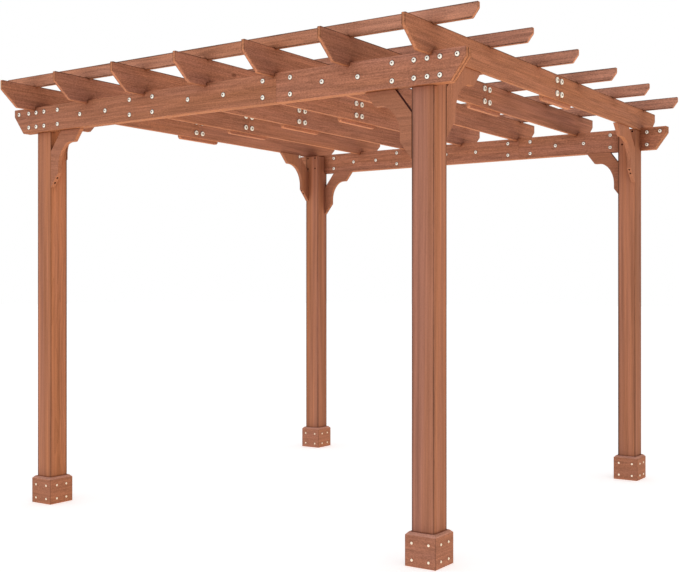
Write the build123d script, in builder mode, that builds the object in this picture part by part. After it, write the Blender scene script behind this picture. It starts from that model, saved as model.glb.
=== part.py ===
"""Open-roofed timber pergola.

Four square posts stand in chamfered base trims and carry two beams, one along the front and one
along the back. Each beam is doubled from two layers of board with staggered butt joints: the inner
layer is let into a notch in the posts and the outer layer covers it. Seven rafters, each of two
halves joined over the middle by a side plate, are notched down over the beams, and six purlins are
notched over the rafters. Eight knee braces with a scooped edge stiffen the corners.

X runs along the beams, Y from front to back, Z up. The origin is on the ground, midway between the
posts. All lengths are in millimetres.
"""

import os

from build123d import *

os.makedirs("parts", exist_ok=True)

# Posts: square timbers, spaced centre to centre.
post_size = 114.0
post_span_x = 2506.0
post_span_y = 2506.0

# Base trims: boards boxed around each foot, chamfered along the top.
trim_thickness = 21.5
trim_height = 150.0
trim_chamfer = 12.0

# Beams: two layers of board, face to face. They run on past the posts, and each layer has a butt joint
# part of the way from the middle to the post.
beam_underside = 2100.0
beam_height = 142.0
beam_overhang = 171.0
beam_ply = 25.0
beam_end_drop = 40.0
beam_end_run = 78.0
beam_joint_share = 0.3623

# Rafters: two halves each, butted over the middle and notched over the beams, with tails past the posts.
# The outer ones stand a little proud of the posts' outer faces.
rafter_count = 7
rafter_thickness = 20.0
rafter_depth = 138.0
rafter_overhang = 244.0
rafter_proud = 7.0
rafter_seat = 17.0
rafter_end_drop = 50.0
rafter_end_run = 101.0

# Splice plates: short boards on the left side of each rafter joint, set a little low and to the back.
splice_length = 362.0
splice_height = 140.0
splice_thickness = 25.0
splice_hang = 18.0
splice_offset = 25.0
splice_chamfer = 10.0

# Purlins: slender battens on edge, notched over the rafters, the outer ones set in from the rafters' ends.
purlin_count = 6
purlin_thickness = 20.0
purlin_depth = 67.0
purlin_overhang = 223.0
purlin_inset = 227.0
purlin_seat = 7.0
purlin_end_drop = 28.0
purlin_end_run = 30.0

# Knee braces under the beams and under the outer rafters: how far each reaches out from the post and
# down from its seat. The inner corner is cut off and the outer edge is scooped.
beam_brace_run = 247.0
beam_brace_drop = 315.0
rafter_brace_run = 320.0
rafter_brace_drop = 340.0
brace_thickness = 25.0
brace_flat = 28.0
brace_corner_share = 0.35
brace_tip_share = 0.22
brace_toe_share = 0.25
scoop_start = 180.0
scoop_sweep = 90.0

# Faces and levels that the pieces share.
post_x = post_span_x / 2
post_y = post_span_y / 2
post_half = post_size / 2
inner_x = post_x - post_half
inner_y = post_y - post_half
outer_x = post_x + post_half
outer_y = post_y + post_half
notch_y = outer_y - beam_ply
beam_face_y = outer_y + beam_ply
beam_top = beam_underside + beam_height
rafter_underside = beam_top - rafter_seat
rafter_top = rafter_underside + rafter_depth
purlin_underside = rafter_top - purlin_seat
purlin_top = purlin_underside + purlin_depth

# Rows of rafters along X and of purlins along Y.
rafter_outer_x = outer_x + rafter_proud - rafter_thickness / 2
rafter_pitch = 2 * rafter_outer_x / (rafter_count - 1)
rafter_xs = [rafter_pitch * i - rafter_outer_x for i in range(rafter_count)]
rafter_end = outer_y + rafter_overhang
purlin_outer_y = rafter_end - purlin_inset
purlin_pitch = 2 * purlin_outer_y / (purlin_count - 1)
purlin_ys = [purlin_pitch * i - purlin_outer_y for i in range(purlin_count)]

x_sides = {"left": -1, "right": 1}
y_sides = {"front": -1, "rear": 1}

# Posts, notched at the head on the outer face for the inner layer of the beam.
for y_name, y_side in y_sides.items():
    for x_name, x_side in x_sides.items():
        post_plane = Plane(
            origin=(x_side * post_x, 0, 0),
            x_dir=(0, y_side, 0),
            z_dir=(y_side, 0, 0),
        )
        with BuildPart() as post:
            with BuildSketch(post_plane):
                with BuildLine():
                    Polyline(
                        (inner_y, 0),
                        (outer_y, 0),
                        (outer_y, beam_underside),
                        (notch_y, beam_underside),
                        (notch_y, rafter_underside),
                        (inner_y, rafter_underside),
                        close=True,
                    )
                make_face()
            extrude(amount=post_half, both=True)
        post.part.label = f"post_{y_name}_{x_name}"
        export_step(post.part, f"parts/post_{y_name}_{x_name}.step")

# Base trims, a ring of boards fitted round each post.
for y_name, y_side in y_sides.items():
    for x_name, x_side in x_sides.items():
        trim_plane = Plane(origin=(x_side * post_x, y_side * post_y, 0))
        with BuildPart() as trim:
            with BuildSketch(trim_plane):
                Rectangle(post_size + 2 * trim_thickness, post_size + 2 * trim_thickness)
                Rectangle(post_size, post_size, mode=Mode.SUBTRACT)
            extrude(amount=trim_height)
            top_edges = trim.faces().sort_by(Axis.Z)[-1].outer_wire().edges()
            chamfer(top_edges, length=trim_chamfer)
        trim.part.label = f"base_trim_{y_name}_{x_name}"
        export_step(trim.part, f"parts/base_trim_{y_name}_{x_name}.step")

# Beams: each layer is a long board and a short one, and the joints of the two layers are staggered.
ply_layers = {"inner": (notch_y + outer_y) / 2, "outer": (outer_y + beam_face_y) / 2}
ply_joint_sides = {"inner": 1, "outer": -1}
beam_end = outer_x + beam_overhang
beam_joint = post_x * beam_joint_share
for y_name, y_side in y_sides.items():
    for layer, layer_y in ply_layers.items():
        joint_x = y_side * ply_joint_sides[layer] * beam_joint
        for x_name, x_side in x_sides.items():
            board_start = x_side * joint_x
            ply_plane = Plane(
                origin=(0, y_side * layer_y, 0),
                x_dir=(x_side, 0, 0),
                z_dir=(0, -x_side, 0),
            )
            with BuildPart() as ply:
                with BuildSketch(ply_plane):
                    with BuildLine():
                        Polyline(
                            (board_start, beam_underside),
                            (beam_end - beam_end_run, beam_underside),
                            (beam_end, beam_top - beam_end_drop),
                            (beam_end, beam_top),
                            (board_start, beam_top),
                            close=True,
                        )
                    make_face()
                extrude(amount=beam_ply / 2, both=True)
            ply.part.label = f"{y_name}_beam_{layer}_{x_name}"
            export_step(ply.part, f"parts/{y_name}_beam_{layer}_{x_name}.step")

# Rafters, front and rear halves, with a raked tail and a seat cut over the beam.
for index, rafter_x in enumerate(rafter_xs, start=1):
    for y_name, y_side in y_sides.items():
        rafter_plane = Plane(
            origin=(rafter_x, 0, 0),
            x_dir=(0, y_side, 0),
            z_dir=(y_side, 0, 0),
        )
        with BuildPart() as rafter:
            with BuildSketch(rafter_plane):
                with BuildLine():
                    Polyline(
                        (0, rafter_underside),
                        (notch_y, rafter_underside),
                        (notch_y, beam_top),
                        (beam_face_y, beam_top),
                        (beam_face_y, rafter_underside),
                        (rafter_end - rafter_end_run, rafter_underside),
                        (rafter_end, rafter_top - rafter_end_drop),
                        (rafter_end, rafter_top),
                        (0, rafter_top),
                        close=True,
                    )
                make_face()
            extrude(amount=rafter_thickness / 2, both=True)
        rafter.part.label = f"rafter_{index}_{y_name}"
        export_step(rafter.part, f"parts/rafter_{index}_{y_name}.step")

# Splice plates, one beside each rafter joint, with the lower corners taken off.
splice_bottom = rafter_underside - splice_hang
splice_shift = (rafter_thickness + splice_thickness) / 2
splice_points = [
    (rafter_x - splice_shift, splice_offset, splice_bottom + splice_height / 2)
    for rafter_x in rafter_xs
]
with BuildPart() as splices:
    with Locations(*splice_points):
        Box(splice_thickness, splice_length, splice_height)
    lower_corners = splices.edges().filter_by(Axis.X).group_by(Axis.Z)[0]
    chamfer(lower_corners, length=splice_chamfer)
splices.part.label = "rafter_splice_plates"
export_step(splices.part, "parts/rafter_splice_plates.step")

# Purlins, with a shallow notch over each rafter and the lower corner of each end cut back.
purlin_end = rafter_outer_x + rafter_thickness / 2 + purlin_overhang
seat_points = [(rafter_x, purlin_underside) for rafter_x in rafter_xs]
for index, purlin_y in enumerate(purlin_ys, start=1):
    with BuildPart() as purlin:
        with BuildSketch(Plane.XZ.offset(-purlin_y)):
            with BuildLine():
                Polyline(
                    (purlin_end_run - purlin_end, purlin_underside),
                    (purlin_end - purlin_end_run, purlin_underside),
                    (purlin_end, purlin_top - purlin_end_drop),
                    (purlin_end, purlin_top),
                    (-purlin_end, purlin_top),
                    (-purlin_end, purlin_top - purlin_end_drop),
                    close=True,
                )
            make_face()
            with Locations(*seat_points):
                Rectangle(
                    rafter_thickness,
                    purlin_seat,
                    align=(Align.CENTER, Align.MIN),
                    mode=Mode.SUBTRACT,
                )
        extrude(amount=purlin_thickness / 2, both=True)
    purlin.part.label = f"purlin_{index}"
    export_step(purlin.part, f"parts/purlin_{index}.step")

# Knee braces. In the profile the first number runs out from the post, the second down from the seat.
# The outer edge follows the line from tip to toe, steps in at both ends and is scooped between.
brace_half = brace_thickness / 2
for y_name, y_side in y_sides.items():
    for x_name, x_side in x_sides.items():
        beam_brace_plane = Plane(
            origin=(x_side * inner_x, y_side * (outer_y - brace_half), beam_underside),
            x_dir=(-x_side, 0, 0),
            z_dir=(0, -x_side, 0),
        )
        rafter_brace_plane = Plane(
            origin=(x_side * (outer_x - brace_half), y_side * inner_y, rafter_underside),
            x_dir=(0, -y_side, 0),
            z_dir=(y_side, 0, 0),
        )
        brace_kinds = {
            "beam_brace": (beam_brace_plane, beam_brace_run, beam_brace_drop),
            "rafter_brace": (rafter_brace_plane, rafter_brace_run, rafter_brace_drop),
        }
        for kind, (brace_plane, run, drop) in brace_kinds.items():
            upper_tip = (run * (1 - brace_tip_share), drop * brace_tip_share)
            lower_tip = (run * brace_toe_share, drop * (1 - brace_toe_share))
            scoop_top = (upper_tip[0] - brace_flat, upper_tip[1])
            scoop_end = (lower_tip[0], lower_tip[1] - brace_flat)
            with BuildPart() as brace:
                with BuildSketch(brace_plane):
                    with BuildLine():
                        Polyline(
                            scoop_end,
                            lower_tip,
                            (0, drop),
                            (0, drop * brace_corner_share),
                            (run * brace_corner_share, 0),
                            (run, 0),
                            upper_tip,
                            scoop_top,
                        )
                        EllipticalCenterArc(
                            center=(scoop_top[0], scoop_end[1]),
                            x_radius=scoop_top[0] - scoop_end[0],
                            y_radius=scoop_end[1] - scoop_top[1],
                            start_angle=scoop_start,
                            arc_size=scoop_sweep,
                        )
                    make_face()
                extrude(amount=brace_half, both=True)
            brace.part.label = f"{kind}_{y_name}_{x_name}"
            export_step(brace.part, f"parts/{kind}_{y_name}_{x_name}.step")
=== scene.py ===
"""Looks of an open-roofed pergola in red-brown stained timber.

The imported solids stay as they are. This script eases their edges, gives every board its own stained
grain, adds the bolts and screws that hold the boards together, and sets the pergola on a pale studio
floor. X runs along the beams, Y from front to back and Z up. Lengths are in metres.
"""

import logging
import math
import random
from dataclasses import dataclass, field
from enum import Enum
from typing import Any, Iterable, List, Mapping, Optional, Sequence, Tuple, Union

import bpy
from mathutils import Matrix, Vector


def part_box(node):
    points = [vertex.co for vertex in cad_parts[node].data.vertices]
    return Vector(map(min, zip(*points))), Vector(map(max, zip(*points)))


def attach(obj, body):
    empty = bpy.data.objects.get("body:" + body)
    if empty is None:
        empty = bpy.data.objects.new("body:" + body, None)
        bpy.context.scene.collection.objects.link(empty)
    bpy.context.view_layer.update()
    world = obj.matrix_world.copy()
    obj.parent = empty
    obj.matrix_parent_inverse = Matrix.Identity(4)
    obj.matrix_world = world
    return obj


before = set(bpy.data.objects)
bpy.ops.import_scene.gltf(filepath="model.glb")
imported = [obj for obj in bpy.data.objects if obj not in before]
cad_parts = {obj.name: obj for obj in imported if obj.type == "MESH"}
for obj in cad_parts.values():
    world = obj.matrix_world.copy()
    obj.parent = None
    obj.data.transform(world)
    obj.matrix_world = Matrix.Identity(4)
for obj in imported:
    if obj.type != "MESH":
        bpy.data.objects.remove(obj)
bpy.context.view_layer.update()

LOG = logging.getLogger("pergola")
BODY = "root"

Key = Union[int, str]
Triple = Tuple[float, float, float]
Colour = Tuple[float, float, float, float]
# The value that gives nought and the value that gives one, with a smooth rise between.
Step = Tuple[float, float]

ROWS = ("front", "rear")
SIDES = ("left", "right")
CORNERS = [(row, side) for row in ROWS for side in SIDES]
X_SIGN = {"left": -1.0, "right": 1.0}
Y_SIGN = {"front": -1.0, "rear": 1.0}

# Bolts through the beams at the posts: their distances from the middle, and their heights.
POST_COLUMNS = (1.2909, 1.2237)
PAIR_LEVELS = (2.2117, 2.1323)

# Attributes on the fasteners: which part a face belongs to, and which way a seat faces.
SHADE = "shade"
FACING = "facing"

HALF = 0.5
WHITE: Colour = (1.0, 1.0, 1.0, 1.0)
SRGB_KNEE = 0.04045
SRGB_SLOPE = 12.92
SRGB_LIFT = 0.055
SRGB_POWER = 2.4
BYTE = 255.0


def stain(red: int, green: int, blue: int) -> Colour:
    """Turn a screen colour into the linear colour that shaders use.

    Args:
        red: Red from 0 to 255.
        green: Green from 0 to 255.
        blue: Blue from 0 to 255.

    Returns:
        The linear colour with full alpha.
    """
    linear = []
    for level in (red, green, blue):
        share = level / BYTE
        if share <= SRGB_KNEE:
            linear.append(share / SRGB_SLOPE)
        else:
            linear.append(((share + SRGB_LIFT) / (1 + SRGB_LIFT)) ** SRGB_POWER)
    return (linear[0], linear[1], linear[2], 1.0)


@dataclass(frozen=True)
class Pattern:
    """A cloudy pattern: cells per metre along and across the grain, and how its finer layers add up."""

    along: float
    across: float
    detail: float
    roughness: float


class Wire:
    """A node output that takes part in Python arithmetic on values."""

    def __init__(self, graph: "Graph", socket: bpy.types.NodeSocket) -> None:
        """Keep the output and the graph that it belongs to."""
        self.graph = graph
        self.socket = socket

    def _math(self, operation: str, *values: Any) -> "Wire":
        """Result of one Math node."""
        return self.graph.node("ShaderNodeMath", {"operation": operation}, dict(enumerate(values)))[0]

    def __add__(self, other: Any) -> "Wire":
        """Sum."""
        return self._math("ADD", self, other)

    def __radd__(self, other: Any) -> "Wire":
        """Sum, with the number first."""
        return self._math("ADD", other, self)

    def __sub__(self, other: Any) -> "Wire":
        """Difference."""
        return self._math("SUBTRACT", self, other)

    def __rsub__(self, other: Any) -> "Wire":
        """Difference, with the number first."""
        return self._math("SUBTRACT", other, self)

    def __mul__(self, other: Any) -> "Wire":
        """Product."""
        return self._math("MULTIPLY", self, other)

    def __rmul__(self, other: Any) -> "Wire":
        """Product, with the number first."""
        return self._math("MULTIPLY", other, self)

    def __truediv__(self, other: Any) -> "Wire":
        """Quotient."""
        return self._math("DIVIDE", self, other)

    def __rtruediv__(self, other: Any) -> "Wire":
        """Quotient, with the number first."""
        return self._math("DIVIDE", other, self)

    def __pow__(self, other: Any) -> "Wire":
        """Power."""
        return self._math("POWER", self, other)

    def __rpow__(self, other: Any) -> "Wire":
        """Power, with the number first."""
        return self._math("POWER", other, self)

    def __abs__(self) -> "Wire":
        """Size without sign."""
        return self._math("ABSOLUTE", self)

    def fraction(self) -> "Wire":
        """Part after the point."""
        return self._math("FRACT", self)

    def root(self) -> "Wire":
        """Square root."""
        return self._math("SQRT", self)

    def at_least(self, other: Any) -> "Wire":
        """Larger of two values."""
        return self._math("MAXIMUM", self, other)

    def above(self, other: Any) -> "Wire":
        """One where the value is larger, else nought."""
        return self._math("GREATER_THAN", self, other)

    def step(self, low: float, high: float) -> "Wire":
        """Share that rises smoothly from nought at one value to one at another, which may be smaller."""
        sockets = {"Value": self, "From Min": low, "From Max": high}
        settings = {"interpolation_type": "SMOOTHSTEP", "clamp": True}
        return self.graph.node("ShaderNodeMapRange", settings, sockets)[0]


class Outputs:
    """The outputs of a node, by name or number."""

    def __init__(self, graph: "Graph", node: bpy.types.Node) -> None:
        """Keep the node and its graph."""
        self.graph = graph
        self.node = node

    def __getitem__(self, key: Key) -> Wire:
        """One output as a wire."""
        return Wire(self.graph, self.node.outputs[key])


class Graph:
    """A node tree and the one way in which nodes are added to it."""

    def __init__(self, tree: bpy.types.NodeTree) -> None:
        """Start from an emptied tree."""
        self.tree = tree
        tree.nodes.clear()

    def node(self, kind: str, settings: Mapping[str, Any], sockets: Mapping[Key, Any]) -> Outputs:
        """Add a node, set it up and feed it.

        Args:
            kind: The node's type name.
            settings: Properties of the node, set before its sockets are fed.
            sockets: Values or wires for its inputs, by name or number.

        Returns:
            The node's outputs.
        """
        made = self.tree.nodes.new(kind)
        for name, value in settings.items():
            setattr(made, name, value)
        for key, value in sockets.items():
            feeds = value if isinstance(value, list) else [value]
            for feed in feeds:
                if isinstance(feed, Wire):
                    self.tree.links.new(feed.socket, made.inputs[key])
                else:
                    made.inputs[key].default_value = feed
        return Outputs(self, made)

    def vector(self, operation: str, first: Any, second: Any) -> Outputs:
        """Outputs of one Vector Math node."""
        return self.node("ShaderNodeVectorMath", {"operation": operation}, {0: first, 1: second})

    def blend(self, share: Any, first: Any, second: Any) -> Wire:
        """Two colours mixed, by the share of the second."""
        settings = {"data_type": "RGBA", "clamp_factor": True}
        return self.node("ShaderNodeMix", settings, {0: share, 6: first, 7: second})[2]

    def scaled(self, colour: Any, amount: Any) -> Wire:
        """A colour made brighter by one factor."""
        return self.node("ShaderNodeVectorMath", {"operation": "SCALE"}, {0: colour, 3: amount})[0]

    def cloud(self, place: Wire, pattern: Pattern) -> Wire:
        """Cloudy value about nought, read at a place."""
        cells = (pattern.along, pattern.across, pattern.across)
        sockets = {
            "Vector": self.vector("MULTIPLY", place, cells)[0],
            "Scale": 1.0,
            "Detail": pattern.detail,
            "Roughness": pattern.roughness,
        }
        return self.node("ShaderNodeTexNoise", {"noise_dimensions": "3D"}, sockets)["Fac"] - HALF

    def facing(self) -> Wire:
        """Which way the face looks."""
        return self.node("ShaderNodeNewGeometry", {}, {})["True Normal"]

    def surface(self, sockets: Mapping[Key, Any], height: Wire, strength: float, distance: float) -> None:
        """End a material in one shader with some relief.

        Args:
            sockets: What feeds the shader.
            height: Where the surface rises and falls.
            strength: How strongly the relief shows.
            distance: How deep it is.
        """
        relief = {"Height": height, "Strength": strength, "Distance": distance}
        normal = self.node("ShaderNodeBump", {}, relief)[0]
        shader = self.node("ShaderNodeBsdfPrincipled", {}, {**sockets, "Normal": normal})[0]
        self.node("ShaderNodeOutputMaterial", {}, {"Surface": shader})


class Grain(Enum):
    """Which axes run along the fibres of a board, across them both ways, and out of its ends."""

    ACROSS_FRONT = (0, 1, 2, 0)
    FRONT_TO_BACK = (1, 0, 2, 1)
    UPRIGHT = (2, 0, 1, 2)
    ROUND_THE_POST = (0, 1, 2, 2)


@dataclass(frozen=True)
class Fibres:
    """Where a point lies in a board, from its centre, and shares that tell which face it lies on."""

    along: Wire
    width: Wire
    depth: Wire
    end: Wire
    under: Wire
    sideways: Wire


@dataclass(frozen=True)
class Figure:
    """How strongly and how finely the wood's figure shows on one kind of timber."""

    streaks: Pattern = Pattern(3.4, 95.0, 3.0, 0.55)
    drifts: Pattern = Pattern(0.8, 11.0, 2.0, 0.5)
    streak_depth: float = 1.15
    mottle_depth: float = 1.15
    ring_gap: float = 0.0065
    ring_depth: float = 0.20
    hue_drift: float = 1.3
    knot_share: float = 0.05


@dataclass(frozen=True)
class Coat:
    """How the stain lies on one kind of timber: its shade, its edges, the painted shade in its corners and
    its ends, partly a painted highlight.
    """

    brightness: float = 1.0
    warmth: float = 0.0
    rose: Colour = stain(169, 114, 94)
    edged: bool = True
    outlined: bool = False
    arris_width: float = 0.0075
    arris_depth: float = 0.58
    # Painted shade where boards meet: how strong it is and how far it reaches.
    painted_shade_gain: float = 1.7
    painted_shade_reach: float = 0.09
    # End grain tone, lightened in part as a painted highlight; on the trims it paints a highlight on the
    # chamfer.
    end_tone_and_highlight: Colour = stain(186, 122, 86)
    end_tone_and_highlight_share: float = 0.7


@dataclass(frozen=True)
class Tint:
    """How one board's stain and painted shade differ from the others of its set.

    The lean is how fast it turns to rust across the board, for each metre. The painted side shade makes the
    left and right faces lighter or darker. The slot shadow facing is which way a face looks that gets a
    painted shadow.
    """

    warmth: float = 0.0
    tone: float = 1.0
    lean: float = 0.0
    painted_side_shade: float = 1.0
    slot_shadow_facing: Optional[Triple] = None


@dataclass(frozen=True)
class StainedTimber:
    """Softwood under a red-brown stain, with its own figure for each board.

    The board's box gives the place of the pith and of the edges, where the stain gathers.
    """

    name: str
    grain: Grain
    centre: Triple
    half: Triple
    seed: int
    figure: Figure
    coat: Coat
    tint: Tint

    # Colours, and how much they vary from board to board.
    rust: Colour = stain(171, 110, 77)
    heart: Colour = stain(84, 44, 30)
    # Painted shadow on the slot faces of the braces.
    slot_shadow: Colour = stain(76, 18, 8)
    # Painted bounce light on the undersides, lighter and more orange.
    under: Colour = stain(178, 116, 78)
    painted_bounce_share: float = 0.65
    # Painted shade where boards meet: its tint, and how many rays look for hidden sky.
    painted_shade_tint: Triple = (0.50, 0.36, 0.26)
    painted_shade_samples: int = 6
    warm_share: float = 0.32
    tone_spread: float = 0.06
    warmth_spread: float = 0.16
    shift_range: Tuple[float, float] = (3.0, 60.0)
    darkest: float = 0.2

    # Patterns in the wood, and how dark each one is.
    fibres: Pattern = Pattern(9.0, 420.0, 2.0, 0.6)
    flecks: Pattern = Pattern(26.0, 300.0, 1.0, 0.5)
    mottles: Pattern = Pattern(110.0, 200.0, 2.0, 0.6)
    wanders: Pattern = Pattern(1.1, 5.0, 2.0, 0.5)
    ripples: Pattern = Pattern(5.0, 60.0, 1.0, 0.5)
    fibre_depth: float = 0.30
    fleck_step: Step = (0.12, 0.28)
    fleck_depth: float = 0.12
    late_level: float = 0.25
    knot_depth: float = 0.6

    # Growth rings and knots.
    pith_reach: float = 0.11
    wander_reach: float = 0.075
    ripple_reach: float = 0.006
    swirl_reach: float = 0.018
    late_step: Step = (1.0, 0.93)
    knot_cells: Triple = (2.6, 5.2, 5.2)
    knot_blur: float = 0.02
    knot_step: Step = (0.075, 0.04)
    swirl_step: Step = (0.26, 0.05)

    # Which faces count as cut ends, undersides with painted bounce light, sides with painted side shade,
    # and slot faces with painted shadow.
    end_step: Step = (0.55, 0.75)
    chamfer_step: Step = (0.45, 0.65)
    under_step: Step = (-0.80, -0.95)
    side_step: Step = (0.6, 0.8)
    slot_shadow_step: Step = (0.93, 0.99)

    # Dark lines along the edges: how wide, how dark, and what share of the width is darkest.
    line_wobble: float = 0.004
    line_share: float = 0.25
    outer_width: float = 0.0130
    outer_depth: float = 0.60
    outer_share: float = 0.3
    worn_step: Step = (0.6, 0.9)
    end_line: float = 0.0050
    end_depth: float = 0.58
    end_share: float = 0.4
    corner_depth: float = 0.30

    # Sheen and relief.
    base_roughness: float = 0.62
    fibre_roughness: float = 0.25
    late_roughness: float = 0.08
    end_roughness: float = 0.15
    specular: float = 0.07
    fibre_rise: float = 0.5
    streak_rise: float = 0.4
    knot_rise: float = 0.3
    late_fall: float = 0.35
    fleck_fall: float = 0.4
    bump_strength: float = 0.35
    bump_distance: float = 0.0009

    def material(self) -> bpy.types.Material:
        """Build the board's material.

        Returns:
            The material, with its nodes in place.
        """
        made = bpy.data.materials.new(self.name)
        made.use_nodes = True
        graph = Graph(made.node_tree)
        draw = random.Random(self.seed)
        spread = draw.uniform(-self.tone_spread, self.tone_spread)
        tone = self.coat.brightness * self.tint.tone * (1 + spread)
        spread = draw.uniform(-self.warmth_spread, self.warmth_spread)
        warmth = self.warm_share + self.coat.warmth + self.tint.warmth + spread
        shift = tuple(draw.uniform(*self.shift_range) for _ in range(3))
        pith_angle = draw.uniform(0, 2 * math.pi)
        pith = (self.pith_reach * math.cos(pith_angle), self.pith_reach * math.sin(pith_angle))

        at = self._fibres(graph)
        place = graph.node("ShaderNodeCombineXYZ", {}, {0: at.along, 1: at.width, 2: at.depth})[0]
        place = graph.vector("ADD", place, shift)[0]
        knot, swirl = self._knots(graph, place)
        late = self._rings(graph, place, at, pith, swirl)
        streak = graph.cloud(place, self.figure.streaks)
        fibre = graph.cloud(place, self.fibres)
        drift = graph.cloud(place, self.figure.drifts)
        fleck = graph.cloud(place, self.flecks).step(*self.fleck_step)
        mottle = graph.cloud(place, self.mottles)

        hue = drift * self.figure.hue_drift + warmth + at.width * self.tint.lean
        colour = graph.blend(hue, self.coat.rose, self.rust)
        # Cut ends take the end tone, which is partly a painted highlight.
        colour = graph.blend(at.end * self.coat.end_tone_and_highlight_share, colour, self.coat.end_tone_and_highlight)
        # Undersides get painted bounce light.
        colour = graph.blend(at.under * self.painted_bounce_share, colour, self.under)
        light = (
            streak * self.figure.streak_depth
            + fibre * self.fibre_depth
            + mottle * self.figure.mottle_depth
            - (late - self.late_level) * self.figure.ring_depth
            - fleck * self.fleck_depth
            + 1.0
        )
        if self.coat.edged:
            light = light - self._arris(at, fibre)
        # Painted side shade: the left and right faces lighter or darker than the front.
        light = light * tone * (at.sideways * (self.tint.painted_side_shade - 1.0) + 1.0)
        colour = graph.scaled(colour, light.at_least(self.darkest))
        colour = graph.blend(knot * self.knot_depth, colour, self.heart)
        # Painted shade in the corners, and painted shadow on slot faces.
        colour = self._shaded(graph, colour)

        roughness = fibre * self.fibre_roughness + late * self.late_roughness
        roughness = roughness + at.end * self.end_roughness + self.base_roughness
        height = fibre * self.fibre_rise + streak * self.streak_rise + knot * self.knot_rise
        height = height - late * self.late_fall - fleck * self.fleck_fall
        sockets = {"Base Color": colour, "Roughness": roughness, "Specular IOR Level": self.specular}
        graph.surface(sockets, height, self.bump_strength, self.bump_distance)
        return made

    def _fibres(self, graph: Graph) -> Fibres:
        """Find the place in the board, measured along and across its fibres.

        Args:
            graph: The material's nodes.

        Returns:
            The place in the board.
        """
        point = graph.node("ShaderNodeTexCoord", {}, {})["Object"]
        away = graph.vector("SUBTRACT", point, self.centre)[0]
        parts = graph.node("ShaderNodeSeparateXYZ", {}, {0: away})
        face = graph.node("ShaderNodeSeparateXYZ", {}, {0: graph.facing()})
        run, across, depth, end = self.grain.value
        along, width, end_step = parts[run], parts[across], self.end_step
        # On the trims the top chamfer takes the end colour, as a painted highlight.
        if self.grain is Grain.ROUND_THE_POST:
            side = abs(face[0]).above(abs(face[1]))
            along, width = along + (width - along) * side, width + (along - width) * side
            end_step = self.chamfer_step
        under = face[2].step(*self.under_step)
        sideways = abs(face[0]).step(*self.side_step)
        return Fibres(along, width, parts[depth], abs(face[end]).step(*end_step), under, sideways)

    def _knots(self, graph: Graph, place: Wire) -> Tuple[Wire, Wire]:
        """Place a few small knots.

        Args:
            graph: The material's nodes.
            place: The place in the board.

        Returns:
            The knot's mask, and how far the rings swing out round it.
        """
        settings = {"feature": "F1", "distance": "EUCLIDEAN"}
        sockets = {"Vector": graph.vector("MULTIPLY", place, self.knot_cells)[0], "Scale": 1.0}
        cells = graph.node("ShaderNodeTexVoronoi", settings, sockets)
        chance = graph.node("ShaderNodeSeparateColor", {}, {0: cells["Color"]})[0]
        rare = 1 - self.figure.knot_share
        present = chance.step(rare, rare + self.knot_blur)
        near = cells["Distance"]
        return near.step(*self.knot_step) * present, near.step(*self.swirl_step) * present

    def _rings(self, graph: Graph, place: Wire, at: Fibres, pith: Tuple[float, float], swirl: Wire) -> Wire:
        """Draw the growth rings about the pith.

        Args:
            graph: The material's nodes.
            place: The place in the board, shifted so that boards differ.
            at: The place in the board, from its centre.
            pith: Where the pith lies, across the fibres.
            swirl: How far the rings swing out round a knot.

        Returns:
            How much of the dark late wood shows.
        """
        wander = graph.cloud(place, self.wanders) * self.wander_reach
        ripple = graph.cloud(place, self.ripples) * self.ripple_reach
        out = ((at.width - pith[0]) ** 2 + (at.depth - pith[1]) ** 2).root()
        turn = (out + wander + ripple + swirl * self.swirl_reach) / self.figure.ring_gap
        share = turn.fraction()
        return share * share * share * share.step(*self.late_step)

    def _arris(self, at: Fibres, fibre: Wire) -> Wire:
        """Find the board's edges, where the stain gathers.

        Args:
            at: The place in the board.
            fibre: The fine fibre pattern, which breaks the line up.

        Returns:
            How much darker the wood is there.
        """
        _, across, deep, _ = self.grain.value
        first = self.half[across] - abs(at.width)
        both = self.coat.outlined or self.grain is Grain.UPRIGHT
        second = self.half[deep] - (abs(at.depth) if both else at.depth)
        edge = first.at_least(second)
        narrow = self.coat.arris_width
        line = (edge + fibre * self.line_wobble).step(narrow, narrow * self.line_share)
        line = line * self.coat.arris_depth
        if self.grain is Grain.UPRIGHT:
            outer = edge.step(self.outer_width, self.outer_width * self.outer_share)
            worn = ((at.width - at.depth) * (HALF / self.half[0])).step(*self.worn_step)
            return outer * self.outer_depth * (1 - worn) + line * worn
        if self.grain is Grain.ROUND_THE_POST:
            corner = self.half[0] - abs(at.along)
            return line + corner.step(self.end_line, self.end_line * self.outer_share) * self.corner_depth
        outline = first.step(self.end_line, self.end_line * self.end_share) * at.end * self.end_depth
        return line * (1 - at.end) + outline

    def _shaded(self, graph: Graph, colour: Wire) -> Wire:
        """Paint shade where boards meet, and a painted shadow on faces that look the slot's way.

        Args:
            graph: The material's nodes.
            colour: The board's colour in the open.

        Returns:
            The colour, with painted shade in the corners.
        """
        settings = {"samples": self.painted_shade_samples}
        sockets = {"Distance": self.coat.painted_shade_reach}
        open_sky = graph.node("ShaderNodeAmbientOcclusion", settings, sockets)["AO"]
        deep = graph.vector("MULTIPLY", colour, self.painted_shade_tint)[0]
        colour = graph.blend((1 - open_sky) * self.coat.painted_shade_gain, colour, deep)
        if self.tint.slot_shadow_facing:
            turned = graph.vector("DOT_PRODUCT", graph.facing(), self.tint.slot_shadow_facing)["Value"]
            colour = graph.blend(turned.step(*self.slot_shadow_step), colour, self.slot_shadow)
        return colour


class Metal(Enum):
    """Which part of a fastener a face belongs to, as the shade stored on it."""

    # Dark rings and discs painted where shade falls: round a washer, in a hole and in a core.
    SHADOW = 0.0
    HEAD = 0.5
    WASHER = 1.0


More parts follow.
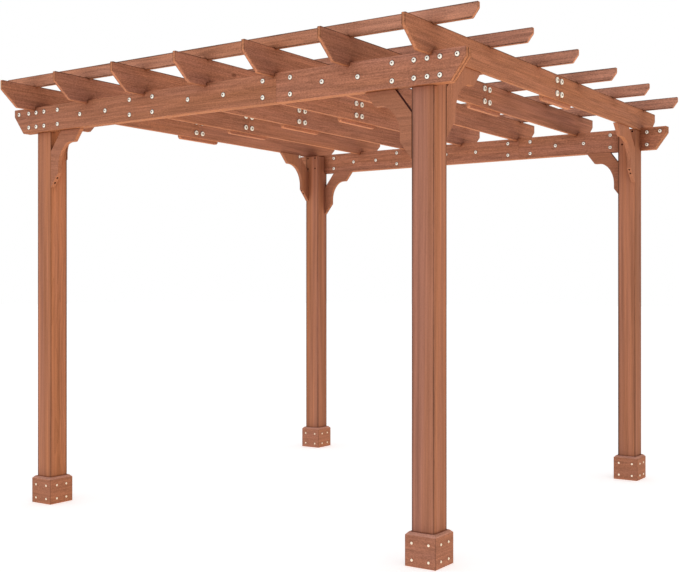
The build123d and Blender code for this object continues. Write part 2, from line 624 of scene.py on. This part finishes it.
@dataclass(frozen=True)
class BrightZinc:
    """Zinc-plated steel, pale on the washers, duller on the heads and dark in the painted shadow of the
    seat ring, hole and core; the seat ring is also a stain halo.
    """

    name: str
    shadow: Colour = stain(62, 24, 13)
    head: Colour = stain(236, 226, 210)
    washer: Colour = stain(255, 251, 240)
    head_step: Step = (0.1, 0.4)
    washer_step: Step = (0.6, 0.9)
    head_metal: float = 0.4
    washer_metal: float = 0.10
    spangles: Pattern = Pattern(900.0, 900.0, 2.0, 0.6)
    scuffs: Pattern = Pattern(160.0, 160.0, 3.0, 0.6)
    spangle_depth: float = 0.12
    scuff_depth: float = 0.20
    spangle_rise: float = 0.4
    base_roughness: float = 0.30
    scuff_roughness: float = 0.3
    seat_roughness: float = 0.3
    specular: float = 0.5
    bump_strength: float = 0.2
    bump_distance: float = 0.0004

    def material(self) -> bpy.types.Material:
        """Build the metal's material.

        Returns:
            The material, with its nodes in place.
        """
        made = bpy.data.materials.new(self.name)
        made.use_nodes = True
        graph = Graph(made.node_tree)
        shade = graph.node("ShaderNodeAttribute", {"attribute_name": SHADE}, {})["Fac"]
        point = graph.node("ShaderNodeTexCoord", {}, {})["Object"]
        spangle = graph.cloud(point, self.spangles)
        scuff = graph.cloud(point, self.scuffs)
        lower = shade.step(*self.head_step)
        upper = shade.step(*self.washer_step)
        colour = graph.blend(upper, graph.blend(lower, self.shadow, self.head), self.washer)
        colour = graph.scaled(colour, spangle * self.spangle_depth + scuff * self.scuff_depth + 1.0)
        seat = (1 - lower) * self.seat_roughness
        height = spangle * self.spangle_rise + scuff
        sockets = {
            "Base Color": colour,
            "Metallic": lower * (1 - upper) * self.head_metal + upper * self.washer_metal,
            "Roughness": scuff * self.scuff_roughness + seat + self.base_roughness,
            "Specular IOR Level": self.specular,
        }
        graph.surface(sockets, height, self.bump_strength, self.bump_distance)
        return made


@dataclass(frozen=True)
class TurnedPart:
    """One closed turned or hexagonal part of a fastener."""

    label: str
    metal: Metal
    sides: int
    radius: float
    base: float
    height: float
    chamfer: float

    def sizes(self) -> Mapping[str, float]:
        """List its sizes by the names of the inputs that take them."""
        sizes = {"Radius": self.radius, "Base": self.base, "Height": self.height, "Chamfer": self.chamfer}
        return {f"{self.label} {name}": size for name, size in sizes.items()}


# The parts of each fastener from the wood outwards: sides, radius, base, height and chamfer.
WASHERED_BOLT = (
    TurnedPart("Seat", Metal.SHADOW, 16, 0.0134, -0.001, 0.0011, 0.0003),
    TurnedPart("Washer", Metal.WASHER, 16, 0.0108, -0.0005, 0.0020, 0.0007),
    TurnedPart("Nut", Metal.WASHER, 6, 0.0056, 0.0010, 0.0034, 0.0009),
    TurnedPart("Shank", Metal.SHADOW, 8, 0.0040, 0.0040, 0.0014, 0.0005),
)
PLATE_BOLT = (
    TurnedPart("Seat", Metal.SHADOW, 16, 0.0172, -0.001, 0.0011, 0.0003),
    TurnedPart("Washer", Metal.WASHER, 16, 0.0150, -0.0005, 0.0070, 0.0020),
    TurnedPart("Nut", Metal.SHADOW, 6, 0.0062, 0.0060, 0.0030, 0.0009),
    TurnedPart("Shank", Metal.HEAD, 8, 0.0020, 0.0080, 0.0030, 0.0006),
)
PAN_HEAD_SCREW = (
    TurnedPart("Seat", Metal.SHADOW, 12, 0.0084, -0.001, 0.0011, 0.0003),
    TurnedPart("Rim", Metal.WASHER, 12, 0.0064, -0.0005, 0.0016, 0.0011),
    TurnedPart("Dome", Metal.WASHER, 12, 0.0052, 0.0006, 0.0016, 0.0012),
    TurnedPart("Drive", Metal.SHADOW, 4, 0.0010, 0.0022, 0.0012, 0.0002),
)
SUNK_SCREW = (
    TurnedPart("Hole", Metal.SHADOW, 14, 0.0062, -0.001, 0.0011, 0.0004),
    TurnedPart("Head", Metal.HEAD, 10, 0.0030, -0.0005, 0.0011, 0.0005),
)


@dataclass(frozen=True)
class Seat:
    """Where a fastener sits and which way it faces."""

    point: Triple
    facing: Triple


@dataclass
class Fastener:
    """A kind of bolt or screw, set out on its seats by a Geometry Nodes tree."""

    name: str
    parts: Sequence[TurnedPart]
    finish: BrightZinc
    seed: int
    seats: List[Seat] = field(default_factory=list)

    def _tree(self) -> Tuple[bpy.types.NodeTree, Mapping[str, str]]:
        """Build the tree that sets a fastener on every seat.

        Returns:
            The tree, and the identifier of each named input.
        """
        tree = bpy.data.node_groups.new(self.name + "_tree", "GeometryNodeTree")
        graph = Graph(tree)
        tree.interface.new_socket(name="Seats", in_out="INPUT", socket_type="NodeSocketGeometry")
        tree.interface.new_socket(name="Fasteners", in_out="OUTPUT", socket_type="NodeSocketGeometry")
        kinds = {label: "NodeSocketFloat" for part in self.parts for label in part.sizes()}
        kinds["Seed"] = "NodeSocketInt"
        kinds["Finish"] = "NodeSocketMaterial"
        inputs = {}
        for label, kind in kinds.items():
            socket = tree.interface.new_socket(name=label, in_out="INPUT", socket_type=kind)
            inputs[label] = socket.identifier

        given = graph.node("NodeGroupInput", {}, {})
        shells = [self._shell(graph, given, part) for part in self.parts]
        joined = graph.node("GeometryNodeJoinGeometry", {}, {0: shells})[0]
        sockets = {"Points": given["Seats"], "Instance": joined, "Rotation": self._turned(graph, given)}
        placed = graph.node("GeometryNodeInstanceOnPoints", {}, sockets)[0]
        solid = graph.node("GeometryNodeRealizeInstances", {}, {"Geometry": placed})[0]
        sockets = {"Geometry": solid, "Material": given["Finish"]}
        dressed = graph.node("GeometryNodeSetMaterial", {}, sockets)[0]
        graph.node("NodeGroupOutput", {}, {0: dressed})
        return tree, inputs

    def _turned(self, graph: Graph, given: Outputs) -> Wire:
        """Turn each fastener to face its way, with its flats at any angle.

        Args:
            graph: The tree's nodes.
            given: The tree's inputs.

        Returns:
            The rotation of each fastener.
        """
        named = {"data_type": "FLOAT_VECTOR"}
        facing = graph.node("GeometryNodeInputNamedAttribute", named, {"Name": FACING})[0]
        aligned = graph.node("FunctionNodeAlignRotationToVector", {"axis": "Z"}, {"Vector": facing})[0]
        limits = {2: 0.0, 3: 2 * math.pi, "Seed": given["Seed"]}
        angle = graph.node("FunctionNodeRandomValue", {"data_type": "FLOAT"}, limits)[1]
        sockets = {"Axis": (0.0, 0.0, 1.0), "Angle": angle}
        spin = graph.node("FunctionNodeAxisAngleToRotation", {}, sockets)[0]
        sockets = {"Rotation": aligned, "Rotate By": spin}
        return graph.node("FunctionNodeRotateRotation", {"rotation_space": "LOCAL"}, sockets)[0]

    def _shell(self, graph: Graph, given: Outputs, part: TurnedPart) -> Wire:
        """Turn one closed part of the fastener.

        Args:
            graph: The tree's nodes.
            given: The tree's inputs.
            part: The part to turn.

        Returns:
            The part's mesh, raised to its place and marked with its shade.
        """
        radius, base, height, chamfer = [given[label] for label in part.sizes()]
        sockets = {"Vertices": part.sides, "Radius Top": radius, "Radius Bottom": radius, "Depth": height}
        blank = graph.node("GeometryNodeMeshCone", {"fill_type": "NGON"}, sockets)
        sockets = {"Mesh": blank["Mesh"], "Selection": blank["Top"], "Offset Scale": chamfer}
        raised = graph.node("GeometryNodeExtrudeMesh", {"mode": "FACES"}, sockets)
        inset = 1 - chamfer / radius
        sockets = {"Geometry": raised["Mesh"], "Selection": raised["Top"], "Scale": inset}
        eased = graph.node("GeometryNodeScaleElements", {"domain": "FACE"}, sockets)[0]
        rise = graph.node("ShaderNodeCombineXYZ", {}, {2: base})[0]
        lifted = graph.node("GeometryNodeTransform", {}, {"Geometry": eased, "Translation": rise})[0]
        settings = {"data_type": "FLOAT", "domain": "POINT"}
        sockets = {"Geometry": lifted, "Name": SHADE, "Value": part.metal.value}
        return graph.node("GeometryNodeStoreNamedAttribute", settings, sockets)[0]

    def build(self) -> None:
        """Set the fasteners out and turn them into one plain mesh."""
        layout = bpy.data.meshes.new(self.name + "_seats")
        layout.from_pydata([seat.point for seat in self.seats], [], [])
        facing = layout.attributes.new(FACING, "FLOAT_VECTOR", "POINT")
        facing.data.foreach_set("vector", [value for seat in self.seats for value in seat.facing])
        host = bpy.data.objects.new(self.name + "_layout", layout)
        bpy.context.scene.collection.objects.link(host)
        tree, inputs = self._tree()
        scatter = host.modifiers.new("set_out", "NODES")
        scatter.node_group = tree
        for part in self.parts:
            for label, size in part.sizes().items():
                scatter[inputs[label]] = size
        scatter[inputs["Seed"]] = self.seed
        scatter[inputs["Finish"]] = self.finish.material()
        evaluated = host.evaluated_get(bpy.context.evaluated_depsgraph_get())
        mesh = bpy.data.meshes.new_from_object(evaluated)
        host.modifiers.remove(scatter)
        bpy.data.objects.remove(host)
        mesh.name = self.name
        piece = bpy.data.objects.new(self.name, mesh)
        bpy.context.scene.collection.objects.link(piece)
        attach(piece, BODY)
        LOG.info("%s: %d set, %d faces", self.name, len(self.seats), len(mesh.polygons))


@dataclass
class Timbers:
    """A set of like boards: their figure, their coat of stain and their eased edges."""

    figure: Figure = Figure()
    coat: Coat = Coat()
    seed: int = 1
    seed_step: int = 1000
    eased: float = 0.003
    segments: int = 2
    edge_angle: float = math.radians(25)
    merge: float = 0.00005

    def dress(self, node: str, grain: Grain, number: int, tint: Tint = Tint()) -> None:
        """Give a board its stained figure, and round its sharp edges slightly.

        Args:
            node: The board's name.
            grain: Which way its fibres run.
            number: The board's place in the set, which picks its own figure.
            tint: How its stain differs from the others.
        """
        low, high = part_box(node)
        finish = StainedTimber(
            name=node + "_stain",
            grain=grain,
            centre=tuple((low + high) / 2),
            half=tuple((high - low) / 2),
            seed=self.seed * self.seed_step + number,
            figure=self.figure,
            coat=self.coat,
            tint=tint,
        )
        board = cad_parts[node]
        board.data.materials.clear()
        board.data.materials.append(finish.material())
        weld = board.modifiers.new("join_faces", "WELD")
        weld.merge_threshold = self.merge
        bevel = board.modifiers.new("eased_edges", "BEVEL")
        bevel.width = self.eased
        bevel.segments = self.segments
        bevel.limit_method = "ANGLE"
        bevel.angle_limit = self.edge_angle
        bevel.harden_normals = True
        LOG.info("%s dressed", node)


@dataclass
class Posts(Timbers):
    """The four square posts, with the sunk bolt ends on their inner faces."""

    # Warmth, tone, lean and painted side shade of each post; the rear posts' right faces are painted
    # darker.
    tints: Tuple[Tint, ...] = (
        Tint(0.30, 1.08, 3.0, 1.00),
        Tint(-0.10, 0.99, 8.0, 1.05),
        Tint(0.30, 1.10, -4.0, 0.81),
        Tint(0.27, 1.02, -1.0, 0.86),
    )

    def build(self, sunk: Fastener) -> None:
        """Dress the posts and lay out the sunk bolt ends.

        Args:
            sunk: The dark sunk screws, which get a seat for each bolt end.
        """
        for number, (row, side) in enumerate(CORNERS):
            node = f"post_{row}_{side}"
            self.dress(node, Grain.UPRIGHT, number, self.tints[number])
            low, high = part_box(node)
            inner = high.y if row == "front" else low.y
            inwards = (0.0, -Y_SIGN[row], 0.0)
            for column in POST_COLUMNS:
                for level in PAIR_LEVELS:
                    sunk.seats.append(Seat((X_SIGN[side] * column, inner, level), inwards))


@dataclass
class BaseTrims(Timbers):
    """The boards boxed round each foot, screwed on with four pan-head screws to a face."""

    levels: Tuple[float, float] = (0.0295, 0.104)
    front_reach: float = 0.043
    side_reach: float = 0.033

    def build(self, screws: Fastener) -> None:
        """Dress the trims and lay out their screws.

        Args:
            screws: The pan-head screws, which get their seats here.
        """
        for number, (row, side) in enumerate(CORNERS):
            node = f"base_trim_{row}_{side}"
            self.dress(node, Grain.ROUND_THE_POST, number)
            low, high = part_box(node)
            centre = (low + high) / 2
            for level in self.levels:
                for sign in (-1.0, 1.0):
                    x = centre.x + sign * self.front_reach
                    y = centre.y + sign * self.side_reach
                    for face, outer in ((-1.0, low), (1.0, high)):
                        screws.seats.append(Seat((x, outer.y, level), (0.0, face, 0.0)))
                        screws.seats.append(Seat((outer.x, y, level), (face, 0.0, 0.0)))


@dataclass
class Beams(Timbers):
    """The doubled beams, bolted through with washers on both faces."""

    pair_columns: Tuple[float, ...] = (1.3548, *POST_COLUMNS, 1.1103, 0.5388, 0.3712)
    single_columns: Tuple[float, ...] = (0.9256, 0.7248, 0.1193)
    single_level: float = 2.1713
    end_column: float = 1.4400
    end_level: float = 2.2128
    warmths: Tuple[float, ...] = (0.10, 0.10, 0.33, 0.04, 0.05, 0.05, 0.10, 0.10)
    tones: Tuple[float, ...] = (1.00, 1.00, 0.94, 1.01, 1.06, 1.00, 1.00, 1.00)

    def build(self, bolts: Fastener) -> None:
        """Dress the beam boards and lay out their bolts.

        Args:
            bolts: The washered bolts, which get their seats here.
        """
        boards = [(row, layer, side) for row in ROWS for layer in ("inner", "outer") for side in SIDES]
        for number, (row, layer, side) in enumerate(boards):
            node = f"{row}_beam_{layer}_{side}"
            self.dress(node, Grain.ACROSS_FRONT, number, Tint(self.warmths[number], self.tones[number]))
        for row in ROWS:
            outwards = Y_SIGN[row]
            low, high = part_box(f"{row}_beam_outer_left")
            outer = low.y if row == "front" else high.y
            low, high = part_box(f"{row}_beam_inner_left")
            inner = high.y if row == "front" else low.y
            for column, level in self._pattern():
                for x in (-column, column):
                    bolts.seats.append(Seat((x, outer, level), (0.0, outwards, 0.0)))
                    if column not in POST_COLUMNS:
                        bolts.seats.append(Seat((x, inner, level), (0.0, -outwards, 0.0)))

    def _pattern(self) -> Iterable[Tuple[float, float]]:
        """List the bolts of one half of a beam, as distance from the middle and height."""
        for column in self.pair_columns:
            for level in PAIR_LEVELS:
                yield column, level
        for column in self.single_columns:
            yield column, self.single_level
        yield self.end_column, self.end_level


@dataclass
class Rafters(Timbers):
    """The seven rafters, bolted to the side plates over their joints."""

    bolt_reach: float = 0.0296
    bolt_levels: Tuple[float, ...] = (2.3305, 2.2593)
    front_warmths: Tuple[float, ...] = (0.0, -0.08, -0.10, -0.15, -0.22, -0.02, 0.26)
    front_tones: Tuple[float, ...] = (1.00, 0.99, 1.05, 1.08, 1.02, 0.92, 0.95)
    rear_warmths: Tuple[float, ...] = (0.0, -0.15, 0.05, 0.05, 0.05, -0.10, 0.26)
    rear_tones: Tuple[float, ...] = (1.01, 1.02, 1.04, 1.06, 1.13, 0.98, 0.92)

    def build(self, bolts: Fastener) -> None:
        """Dress the rafters and lay out the bolts through their joints.

        Args:
            bolts: The plate bolts, which get their seats here.
        """
        plates_low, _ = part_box("rafter_splice_plates")
        first_low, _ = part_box("rafter_1_front")
        plate_thickness = first_low.x - plates_low.x
        fronts = zip(self.front_warmths, self.front_tones)
        rears = zip(self.rear_warmths, self.rear_tones)
        for number, (front, rear) in enumerate(zip(fronts, rears), start=1):
            self.dress(f"rafter_{number}_front", Grain.FRONT_TO_BACK, 2 * number, Tint(*front))
            self.dress(f"rafter_{number}_rear", Grain.FRONT_TO_BACK, 2 * number + 1, Tint(*rear))
            low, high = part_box(f"rafter_{number}_front")
            plate_face = low.x - plate_thickness
            for reach in (-self.bolt_reach, self.bolt_reach):
                for level in self.bolt_levels:
                    bolts.seats.append(Seat((high.x, reach, level), (1.0, 0.0, 0.0)))
                    bolts.seats.append(Seat((plate_face, reach, level), (-1.0, 0.0, 0.0)))


@dataclass
class SidePlates(Timbers):
    """The short boards beside the rafters' joints."""

    def build(self) -> None:
        """Dress the plates."""
        self.dress("rafter_splice_plates", Grain.FRONT_TO_BACK, 0)


@dataclass
class Purlins(Timbers):
    """The six battens across the rafters."""

    warmths: Tuple[float, ...] = (0.15, -0.45, -0.45, -0.35, -0.30, -0.30)
    tones: Tuple[float, ...] = (0.97, 1.10, 1.10, 1.08, 1.05, 1.05)

    def build(self) -> None:
        """Dress the purlins."""
        for number, (warmth, tone) in enumerate(zip(self.warmths, self.tones), start=1):
            self.dress(f"purlin_{number}", Grain.ACROSS_FRONT, number, Tint(warmth, tone))


@dataclass
class KneeBraces(Timbers):
    """The eight scooped braces, screwed up through their slanted toes and bolted near the top.

    The four under the beams come first in the tables, then the four under the rafters.
    """

    beam_toe_shares: Tuple[float, ...] = (0.32, 0.66)
    rafter_toe_shares: Tuple[float, ...] = (0.64, 0.89)
    toe_share: float = 0.25
    bolt_reach: float = 0.1135
    bolt_drop: float = 0.0118
    warmths: Tuple[float, ...] = (0.25, 0.0, 0.35, 0.1, 0.0, 0.0, 0.25, 0.0)
    tones: Tuple[float, ...] = (1.05, 0.89, 0.87, 0.91, 1.0, 1.07, 0.95, 0.97)

    def build(self, sunk: Fastener, bolts: Fastener) -> None:
        """Dress the braces and lay out their screws and bolts.

        Args:
            sunk: The dark sunk screws, which get seats on the slanted ends.
            bolts: The washered bolts, which get a seat on each rafter brace.
        """
        for number, (row, side) in enumerate(CORNERS):
            self._brace(f"beam_brace_{row}_{side}", Grain.ACROSS_FRONT, number, X_SIGN[side], sunk)
            node = f"rafter_brace_{row}_{side}"
            self._brace(node, Grain.UPRIGHT, number + len(CORNERS), Y_SIGN[row], sunk)
            low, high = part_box(node)
            inner = high.x if side == "left" else low.x
            post_face = high.y if row == "rear" else low.y
            point = (inner, post_face - Y_SIGN[row] * self.bolt_reach, high.z - self.bolt_drop)
            bolts.seats.append(Seat(point, (-X_SIGN[side], 0.0, 0.0)))

    def _brace(self, node: str, grain: Grain, number: int, sign: float, sunk: Fastener) -> None:
        """Dress one brace and lay out the screws in its slanted end.

        Args:
            node: The brace's name.
            grain: Which way its fibres run: level under a beam, upright under a rafter.
            number: Its place in the set.
            sign: Which end of its run the post stands at.
            sunk: The dark sunk screws.
        """
        low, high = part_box(node)
        size = high - low
        middle = (low + high) / 2
        level = grain is Grain.ACROSS_FRONT
        run = size.x if level else size.y
        drop = size.z
        slant = math.hypot(run, drop)
        # The cut face in the corner by the post gets a painted shadow.
        slot_shadow = (sign * drop / slant, 0.0, run / slant) if level else None
        tint = Tint(self.warmths[number], self.tones[number], slot_shadow_facing=slot_shadow)
        self.dress(node, grain, number, tint)
        toe_run, toe_rise = run * self.toe_share, drop * self.toe_share
        length = math.hypot(toe_run, toe_rise)
        out, down = toe_rise / length, toe_run / length
        for share in self.beam_toe_shares if level else self.rafter_toe_shares:
            reach = toe_run * share
            height = low.z + toe_rise * share
            if level:
                post_face = high.x if sign > 0 else low.x
                seat = Seat((post_face - sign * reach, middle.y, height), (-sign * out, 0.0, -down))
            else:
                post_face = high.y if sign > 0 else low.y
                seat = Seat((middle.x, post_face - sign * reach, height), (0.0, -sign * out, -down))
            sunk.seats.append(seat)


@dataclass(frozen=True)
class Lamp:
    """A broad far lamp: its light, and in degrees its height, its bearing from the front and its spread."""

    name: str
    colour: Triple
    strength: float
    height: float
    bearing: float
    spread: float


@dataclass
class Studio:
    """The pale floor, the soft lights and the camera, whose lens and aim are in pixels of the picture."""

    floor_reach: float = 60.0
    floor_drop: float = 0.001
    floor_colour: Colour = (0.90, 0.90, 0.90, 1.0)
    floor_lift: float = 0.47
    sky_colour: Colour = (0.97, 0.98, 1.0, 1.0)
    sky_strength: float = 0.34
    picture_width: float = 679.0
    picture_height: float = 572.0
    focal_length: float = 1048.382
    aim: Tuple[float, float] = (384.6091, 287.6372)
    sensor: float = 36.0
    eye: Triple = (3.6204852, -5.2260551, 1.2196389)
    turn: float = 33.2287
    lamps: Tuple[Lamp, ...] = (
        Lamp("top", (1.0, 1.0, 1.0), 1.10, 88.0, 0.0, 110.0),
        Lamp("right", (1.0, 0.82, 0.55), 0.38, 1.0, 84.0, 24.0),
        Lamp("right_back", (1.0, 0.83, 0.54), 0.98, -25.0, 130.0, 40.0),
        Lamp("front", (0.96, 0.98, 1.0), 0.95, -12.0, -10.0, 40.0),
        Lamp("bounce", (1.0, 0.87, 0.68), 1.80, -78.0, 30.0, 50.0),
    )

    def build(self) -> None:
        """Set up the floor, the lights, the camera and the plain colour view."""
        self._floor()
        self._sky()
        for lamp in self.lamps:
            self._hang(lamp)
        self._camera()
        bpy.context.scene.view_settings.view_transform = "Standard"

    def _seen(self, graph: Graph) -> Wire:
        """Mask of the rays that see a surface straight on, in a mirror or through glass."""
        path = graph.node("ShaderNodeLightPath", {}, {})
        seen = path["Is Camera Ray"].at_least(path["Is Glossy Ray"])
        return seen.at_least(path["Is Transmission Ray"])

    def _floor(self) -> None:
        """Lay the pale floor."""
        reach, level = self.floor_reach, -self.floor_drop
        mesh = bpy.data.meshes.new("studio_floor")
        corners = [(-reach, -reach), (reach, -reach), (reach, reach), (-reach, reach)]
        mesh.from_pydata([(x, y, level) for x, y in corners], [], [(0, 1, 2, 3)])
        floor = bpy.data.objects.new("studio_floor", mesh)
        bpy.context.scene.collection.objects.link(floor)
        material = bpy.data.materials.new("pale_floor")
        material.use_nodes = True
        graph = Graph(material.node_tree)
        matt = graph.node("ShaderNodeBsdfDiffuse", {}, {"Color": self.floor_colour})[0]
        lift = graph.node("ShaderNodeEmission", {}, {"Color": WHITE, "Strength": self.floor_lift})[0]
        lit = graph.node("ShaderNodeAddShader", {}, {0: matt, 1: lift})[0]
        shown = graph.node("ShaderNodeMixShader", {}, {0: self._seen(graph), 1: matt, 2: lit})[0]
        graph.node("ShaderNodeOutputMaterial", {}, {"Surface": shown})
        mesh.materials.append(material)
        floor.visible_shadow = False

    def _sky(self) -> None:
        """Light the pergola softly from all round, behind a white backdrop."""
        world = bpy.data.worlds.new("studio")
        bpy.context.scene.world = world
        world.use_nodes = True
        graph = Graph(world.node_tree)
        sockets = {"Color": self.sky_colour, "Strength": self.sky_strength}
        soft = graph.node("ShaderNodeBackground", {}, sockets)[0]
        white = graph.node("ShaderNodeBackground", {}, {"Color": WHITE, "Strength": 1.0})[0]
        shown = graph.node("ShaderNodeMixShader", {}, {0: self._seen(graph), 1: soft, 2: white})[0]
        graph.node("ShaderNodeOutputWorld", {}, {"Surface": shown})

    def _hang(self, lamp: Lamp) -> None:
        """Hang one broad far lamp.

        Args:
            lamp: The lamp's colour, strength and direction.
        """
        data = bpy.data.lights.new(lamp.name, "SUN")
        data.color = lamp.colour
        data.energy = lamp.strength
        data.angle = math.radians(lamp.spread)
        hung = bpy.data.objects.new(lamp.name, data)
        height, bearing = math.radians(lamp.height), math.radians(lamp.bearing)
        level = math.cos(height)
        towards = Vector((math.sin(bearing) * level, -math.cos(bearing) * level, math.sin(height)))
        hung.rotation_mode = "QUATERNION"
        hung.rotation_quaternion = towards.to_track_quat("Z", "Y")
        bpy.context.scene.collection.objects.link(hung)

    def _camera(self) -> None:
        """Stand the camera where the photograph was taken from."""
        data = bpy.data.cameras.new("camera")
        data.lens = self.focal_length * self.sensor / self.picture_width
        data.sensor_width = self.sensor
        data.sensor_fit = "HORIZONTAL"
        data.shift_x = (self.picture_width / 2 - self.aim[0]) / self.picture_width
        data.shift_y = (self.aim[1] - self.picture_height / 2) / self.picture_width
        camera = bpy.data.objects.new("camera", data)
        camera.location = self.eye
        camera.rotation_euler = (math.pi / 2, 0.0, math.radians(self.turn))
        bpy.context.scene.collection.objects.link(camera)
        bpy.context.scene.camera = camera


def main() -> None:
    """Dress the pergola piece by piece, then set up the studio."""
    logging.basicConfig(level=logging.INFO, format="%(name)s: %(message)s")
    pale_zinc = BrightZinc("screw_zinc", shadow=stain(158, 84, 52), washer=stain(255, 242, 218))
    dull_steel = BrightZinc(
        "sunk_steel", shadow=stain(34, 9, 4), head=stain(58, 20, 11), head_metal=0.0, specular=0.05
    )
    bolts = Fastener("washered_bolts", WASHERED_BOLT, BrightZinc("bolt_zinc"), seed=11)
    screws = Fastener("trim_screws", PAN_HEAD_SCREW, pale_zinc, seed=12)
    plate_bolts = Fastener("plate_bolts", PLATE_BOLT, BrightZinc("plate_bolt_zinc"), seed=14)
    sunk = Fastener("sunk_screws", SUNK_SCREW, dull_steel, seed=13)

    post_figure = Figure(
        streaks=Pattern(0.8, 48.0, 3.0, 0.55),
        drifts=Pattern(0.8, 26.0, 2.0, 0.5),
        streak_depth=1.35,
        mottle_depth=0.20,
        hue_drift=1.4,
    )
    trim_figure = Figure(
        streak_depth=0.80, mottle_depth=0.95, ring_depth=0.08, hue_drift=0.9, knot_share=0.0
    )
    brace_figure = Figure(
        streak_depth=0.70, mottle_depth=0.65, ring_depth=0.10, hue_drift=0.7, knot_share=0.0
    )
    post_coat = Coat(arris_width=0.0065, arris_depth=0.48, painted_shade_gain=1.1, painted_shade_reach=0.22)
    # The trims' chamfer colour is a painted highlight.
    trim_coat = Coat(end_tone_and_highlight=stain(206, 150, 130), end_tone_and_highlight_share=0.9)
    beam_coat = Coat(arris_depth=-0.10, end_tone_and_highlight=stain(173, 114, 82))
    plate_coat = Coat(brightness=1.15, warmth=-0.15, painted_shade_gain=0.0)
    purlin_coat = Coat(brightness=1.12, rose=stain(171, 120, 100), outlined=True, end_tone_and_highlight_share=0.35)
    brace_coat = Coat(edged=False, painted_shade_gain=0.8, end_tone_and_highlight_share=0.25)

    Posts(figure=post_figure, coat=post_coat, seed=1, eased=0.004).build(sunk)
    BaseTrims(figure=trim_figure, coat=trim_coat, seed=2, eased=0.0025).build(screws)
    Beams(coat=beam_coat, seed=42).build(bolts)
    Rafters(seed=4).build(plate_bolts)
    SidePlates(coat=plate_coat, seed=4).build()
    Purlins(coat=purlin_coat, seed=40).build()
    KneeBraces(figure=brace_figure, coat=brace_coat, seed=6, eased=0.0025).build(sunk, bolts)
    for fastener in (bolts, plate_bolts, screws, sunk):
        fastener.build()

    Studio().build()


if __name__ == "__main__":
    main()
